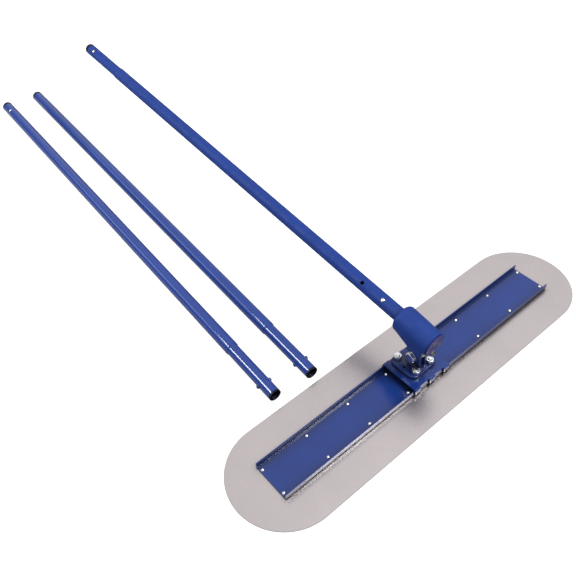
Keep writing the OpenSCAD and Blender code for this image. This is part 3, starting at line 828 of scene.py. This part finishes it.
def make_cap():
    """Pressed-in end cap: turned disc with a rounded rim and a shallow dished face."""
    def field(p):
        x, along, up = p[..., 0], p[..., 1], p[..., 2]
        radius = np.hypot(x, up - SHAFT_DROP)
        disc = soft_max(radius - CAP_R, slab_field(along, CAP_FACE, BARREL_REAR), 1.4)
        plug = soft_max(radius - PLUG_R, slab_field(along, CAP_FACE + 1, PLUG_END), 0.5)
        dish = np.hypot(radius, along - CAP_FACE + DISH_AWAY) - DISH_AWAY - DISH_DEPTH
        bush = soft_max(radius - CAP_BORE_R, slab_field(along, CAP_FACE + 1, 0), 0.3)
        slot = soft_max(np.abs(x) - SLOT_HALF, np.hypot(along, up) - SLOT_R, 0.4)
        solid = np.minimum(disc, plug)
        for space in (dish, bush, slot):
            solid = soft_max(solid, -space, 0.4)
        return solid

    low = (-CAP_R, CAP_FACE, SHAFT_DROP - CAP_R)
    high = (CAP_R, PLUG_END, SHAFT_DROP + CAP_R)
    bm = field_mesh(field, low, high, 0.8)
    stand_for("housing_cap", bm, HEAD, sharp=60)


# ---------------------------------------------------------------- poles and buttons


def button_hole_cutter(turn, height, countersunk=False):
    """Cylinder through both walls of a tube, at a height along it, flared outside if countersunk."""
    overshoot = 1
    reach = TUBE_R + overshoot
    end = [(BUTTON_HOLE_R, reach)]
    if countersunk:
        flare_r = BUTTON_HOLE_R + SINK_WIDTH * (overshoot + SINK_DEPTH) / SINK_DEPTH
        end = [(flare_r, reach), (BUTTON_HOLE_R, TUBE_R - SINK_DEPTH)]
    profile = [(0, reach)] + end + [(r, -x) for r, x in reversed(end)] + [(0, -reach)]
    rod = lathe(bmesh.new(), profile, 48)
    axis = Matrix.Translation((0, 0, height)) @ Matrix.Rotation(math.radians(turn), 4, "Z")
    rod.transform(axis @ Matrix.Rotation(math.pi / 2, 4, "Y"))
    return rod


def pole_profile(length, tip_band, holes):
    """Section of a pole's wall: tip, swaged step, tube and socket, with rims rounded.

    Extra rings either side of each hole keep the cut's long thin faces short.
    """
    bore, tip_bore = TUBE_R - TUBE_WALL, TIP_R - TIP_WALL
    swage_start = TIP_LENGTH - SWAGE_LENGTH
    swage = [(TIP_R + (TUBE_R - TIP_R) * (0.5 - 0.5 * math.cos(math.pi * i / 8)),
              swage_start + SWAGE_LENGTH * i / 8) for i in range(9)]
    rings = sorted(h + d for h in holes for d in (-HOLE_CLEARANCE, HOLE_CLEARANCE))
    tip_rings = [z for z in rings if z < swage_start]
    tube_rings = [z for z in rings if z > TIP_LENGTH]
    spacing = [TIP_LENGTH + (length - TIP_LENGTH) * i / 12 for i in range(1, 12)]
    outer = ([(TIP_R - 0.5, 0), (TIP_R - 0.15, 0.15), (TIP_R, 0.6), (TIP_R, tip_band)]
             + [(TIP_R, z) for z in tip_rings]
             + swage + [(TUBE_R, z) for z in sorted(tube_rings + spacing + [length - RIM_BAND])]
             + [(TUBE_R, length - 0.4), (TUBE_R - 0.12, length - 0.1), (TUBE_R - 0.4, length)])
    socket = length - SOCKET_LENGTH
    inner = ([(SOCKET_R + 0.3, length), (SOCKET_R, length - 0.4)]
             + [(SOCKET_R, z) for z in sorted(tube_rings, reverse=True) if z > socket]
             + [(SOCKET_R, socket), (bore, socket - 0.2), (bore, TIP_LENGTH), (tip_bore, swage_start)]
             + [(tip_bore, z) for z in sorted(tip_rings, reverse=True)]
             + [(tip_bore, 0.3), (tip_bore + 0.2, 0)])
    return outer + inner


def pole_finish(face, length, tip_band):
    """Place in a pole's materials: 0 painted outside, 1 near black inside as painted shade and in bands
    at the ends, 2 bare countersinks.
    """
    place = face.calc_center_median()
    facing = face.normal.dot(Vector((place.x, place.y, 0)).normalized())
    straight_out, partly_out = facing > 0.97, facing > 0.5
    between_bands = tip_band < place.z < length - RIM_BAND
    on_swage = TIP_LENGTH - SWAGE_LENGTH - 1 < place.z < TIP_LENGTH + 1
    if (straight_out and between_bands) or (partly_out and on_swage):
        return 0
    return 2 if partly_out and between_bands and place.z > TIP_LENGTH + 1 else 1


def make_pole(name, length, tip_turn, socket_turn, sockets, matrix):
    """A pole; sockets are its socket holes' places along it."""
    tip_band = RIM_BAND if name == "first_pole" else TIP_RIM_BAND
    profile = pole_profile(length, tip_band, [BUTTON_FROM_TIP] + sockets)
    bm = lathe(bmesh.new(), profile, 96, closed=True)
    cutter = button_hole_cutter(tip_turn, BUTTON_FROM_TIP)
    for height in sockets:
        merge(cutter, button_hole_cutter(socket_turn, height, countersunk=name != "first_pole"))
    bm = cut(bm, cutter)
    bmesh.ops.recalc_face_normals(bm, faces=bm.faces)
    for face in bm.faces:
        face.material_index = pole_finish(face, length, tip_band)
    pole = stand_for(name, bm, matrix, "head_paint" if name == "first_pole" else "pole_paint")
    # The near-black inside is painted shade.
    pole.data.materials.append(MATERIAL["tube_inside"])
    pole.data.materials.append(MATERIAL["zinc"])


def make_button(node, matrix):
    """Domed button with the flange that holds it in the tube, standing along local X."""
    radius, dome, top = 3.5, 1.4, TIP_R + 3.8
    flange_r, flange_low, flange_high = 4.5, 8.4, 9.6
    dome_r = (radius**2 + dome**2) / (2 * dome)
    reach = math.degrees(math.asin((radius - 0.25) / dome_r))
    crown = arc((0, top - dome_r), dome_r, 90 - reach, 90, 10)
    profile = ([(0, flange_low), (flange_r - 0.2, flange_low), (flange_r, flange_low + 0.2),
                (flange_r, flange_high - 0.2), (flange_r - 0.2, flange_high), (radius, flange_high),
                (radius, crown[0][1] - 0.35), (radius - 0.06, crown[0][1] - 0.12)] + crown)
    bm = lathe(bmesh.new(), profile, 40)
    stand_for(node, bm, matrix @ Matrix.Rotation(math.pi / 2, 4, "Y"))


def turned(matrix, height, degrees):
    """A frame moved along its own Z and turned about it."""
    return matrix @ Matrix.Translation((0, 0, height)) @ Matrix.Rotation(math.radians(degrees), 4, "Z")


def make_poles():
    """The fitted pole, the two loose ones, and the snap buttons in the head and in each pole's tip."""
    first = pole_frame("first_pole")
    far_end = Vector(MOUNT["first_pole_tip"]["pos_m"]) / MM
    first_length = (far_end - SHAFT_FOOT).dot(ALONG) - FIRST_POLE_REAR
    # The first pole's frame runs back towards the blade, so its turns count the other way
    first_turn = -HANDLE_TURN
    sockets = [first_length - FIRST_SOCKET_HOLE, first_length - FAR_SOCKET_HOLE]
    make_pole("first_pole", first_length, first_turn, first_turn, sockets, first)
    make_button("first_pole_button_upper", turned(first, BUTTON_FROM_TIP, first_turn))
    make_button("first_pole_button_lower", turned(first, BUTTON_FROM_TIP, first_turn + 180))
    seated = FIRST_POLE_REAR + FIRST_SOCKET_HOLE
    make_button("spigot_button_upper", turned(HANDLE, seated, HANDLE_TURN))
    make_button("spigot_button_lower", turned(HANDLE, seated, HANDLE_TURN + 180))
    for name in ("second_pole", "third_pole"):
        own = pole_frame(name)
        tip = Vector(MOUNT[name + "_tip"]["pos_m"])
        mouth = Vector(MOUNT[name + "_socket"]["pos_m"])
        length = (mouth - tip).length / MM + SOCKET_LENGTH / 2
        make_pole(name, length, 0, SOCKET_TURN[name], [length - FIRST_SOCKET_HOLE], own)
        make_button(name + "_button_right", turned(own, BUTTON_FROM_TIP, 0))
        make_button(name + "_button_left", turned(own, BUTTON_FROM_TIP, 180))


# ---------------------------------------------------------------- the CAD nodes that stay


def finish_cad_nodes():
    """Gives every CAD node, shown or not, its material."""
    for node, item in frame["nodes"].items():
        item.data.materials.clear()
        item.data.materials.append(MATERIAL[SLOT_OF[node]])


# ---------------------------------------------------------------- welds


def make_welds():
    """Tack welds where each front and rear tab is folded over the channel's flange."""
    below_top = 6
    welds = bmesh.new()
    for i in (-1, 0, 1):
        for side in (-1, 1):
            centre = (i * TAB_PITCH - TAB_WIDTH / 2, side * SADDLE_HIGH.y, SADDLE_HIGH.z - below_top)
            merge(welds, weld_bead(), Matrix.Translation(centre))
    piece = new_object("tab_welds", welds, ROW, MATERIAL["weld"], sharp=70)
    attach(piece, BODY_OF["saddle_plate"])


def weld_bead():
    """Short vertical run of weld, three overlapping drops long."""
    wide, deep, tall, spacing = 1.5, 1.3, 1.9, 2

    def field(p):
        x, y, z = p[..., 0], p[..., 1], p[..., 2]
        lower, middle, upper = [np.sqrt((x / wide)**2 + (y / deep)**2 + ((z - height) / tall)**2) - 1
                                for height in (-spacing, 0, spacing)]
        return soft_min(soft_min(lower, middle, 0.3), upper, 0.3)

    reach = 2 * spacing
    return field_mesh(field, (-wide, -deep, -reach), (wide, deep, reach), 0.35)


# ---------------------------------------------------------------- stage


def make_floor():
    """Large floor, a hair under the blade's working face."""
    half_side, gap = 40, 0.0004
    bm = bmesh.new()
    bmesh.ops.create_grid(bm, x_segments=1, y_segments=1, size=half_side)
    mesh = bpy.data.meshes.new("floor")
    bm.to_mesh(mesh)
    bm.free()
    floor = bpy.data.objects.new("floor", mesh)
    floor.location.z = -gap
    bpy.context.scene.collection.objects.link(floor)
    floor.data.materials.append(floor_material())


def floor_material():
    """Pale paper that glows a little to the eye, so that shadows stay faint, but not in reflections."""
    g = Graph("floor", Roughness=1.0)
    g.drive("Base Color", g.mix(g.noise(3), (0.38, 0.38, 0.38, 1), (0.42, 0.42, 0.42, 1)))
    glow = g.add("ShaderNodeEmission", {"Strength": 0.82}).outputs[0]
    lifted = g.add("ShaderNodeAddShader", {0: g.shader.outputs[0], 1: glow}).outputs[0]
    to_eye = g.add("ShaderNodeLightPath").outputs["Is Camera Ray"]
    shown = g.add("ShaderNodeMixShader", {0: to_eye, 1: g.shader.outputs[0], 2: lifted}).outputs[0]
    g.tree.links.new(shown, g.tree.nodes["Material Output"].inputs["Surface"])
    return g.material


def add_area(name, place, target, size, power, along=(0, 0, 1), lit=None):
    """Rectangular light facing its target, its second side turned along the given direction.

    Places are in metres and power in watts. It shines on the pieces in lit only, if they are given.
    """
    light = bpy.data.lights.new(name, "AREA")
    light.shape = "RECTANGLE"
    light.size, light.size_y = size
    light.energy = power
    lamp = bpy.data.objects.new(name, light)
    away = Vector(place) - Vector(target)
    lamp.matrix_world = axes_at(place, Vector(along).cross(away), away)
    bpy.context.scene.collection.objects.link(lamp)
    if lit:
        chosen = bpy.data.collections.new(name + "_pieces")
        for piece in lit:
            chosen.objects.link(piece)
        lamp.light_linking.receiver_collection = chosen


def make_sky():
    """Soft dome with a broad bright patch over the float's right, plain white to the camera."""
    world = bpy.data.worlds.new("studio")
    bpy.context.scene.world = world
    world.use_nodes = True
    sky = Nodes(world.node_tree)
    direction = sky.add("ShaderNodeTexCoord").outputs["Generated"]

    def glow_towards(aim, start, end, low, high):
        """Brightness that rises from low to high as a direction turns towards the aim."""
        inputs = {0: direction, 1: Vector(aim).normalized()}
        match = sky.add("ShaderNodeVectorMath", inputs, operation="DOT_PRODUCT").outputs["Value"]
        return sky.remap(match, start, end, low, high, interpolation_type="SMOOTHSTEP")

    patch = glow_towards((0.45, 0.40, 0.80), 0.55, 0.85, 0.0, 1.0)
    dome = glow_towards((0, 0, 1), 0.2, 0.75, 0.28, 0.80)
    seen = sky.add("ShaderNodeLightPath").outputs["Is Camera Ray"]
    background = sky.tree.nodes["Background"]
    sky.feed(background.inputs["Color"], (1.0, 0.99, 0.985, 1))
    sky.feed(background.inputs["Strength"], sky.math("MAXIMUM", sky.math("MAXIMUM", patch, dome), seen))


def make_lights():
    """Key and back lights over the poles' side, and a softbox in front.

    Flat pieces would mirror the key and back lights as white patches, so only the others get them.
    """
    flat = ("blade", "channel", "saddle", "knuckle", "base", "tab")
    round_pieces = [piece for piece in bpy.data.objects if not piece.name.startswith(flat)]
    overhead = 1.6
    for name, x, y, size, power in (("key", -1.65, 1.28, (1.1, 0.55), 52),
                                    ("back", -1.8, 2.9, (1.6, 2.4), 20)):
        add_area(name, (x, y, overhead), (x, y, 0), size, power, along=(0, 1, 0), lit=round_pieces)
    add_area("front", (0.65, -0.86, 2.0), (-0.1, 0, 0), (0.7, 0.5), 34)


def make_camera():
    """Camera from its direction, roll and distance to a point on the floor."""
    azimuth, elevation, roll = map(math.radians, (-37.54, 46.20, -3.66))
    target = Vector((-0.03748, 0.31210, 0))
    distance = 1.3714
    back = Vector((math.sin(azimuth) * math.cos(elevation), -math.cos(azimuth) * math.cos(elevation),
                   math.sin(elevation)))
    right = (-back).cross((0, 0, 1)).normalized()
    up = right.cross(-back)
    tipped = right * math.cos(roll) + up * math.sin(roll)
    data = bpy.data.cameras.new("camera")
    data.lens = 42.04
    data.sensor_width = 36
    camera = bpy.data.objects.new("camera", data)
    camera.matrix_world = axes_at(target + back * distance, tipped, back)
    bpy.context.scene.collection.objects.link(camera)
    bpy.context.scene.camera = camera


make_blade()
make_channel()
make_rivets()
make_saddle()
make_welds()
make_knuckle_base()
make_base_fasteners()
make_pivot_fasteners()
make_housing()
make_cap()
make_poles()
finish_cad_nodes()
make_floor()
make_sky()
make_lights()
make_camera()
bpy.context.scene.view_settings.view_transform = "Standard"
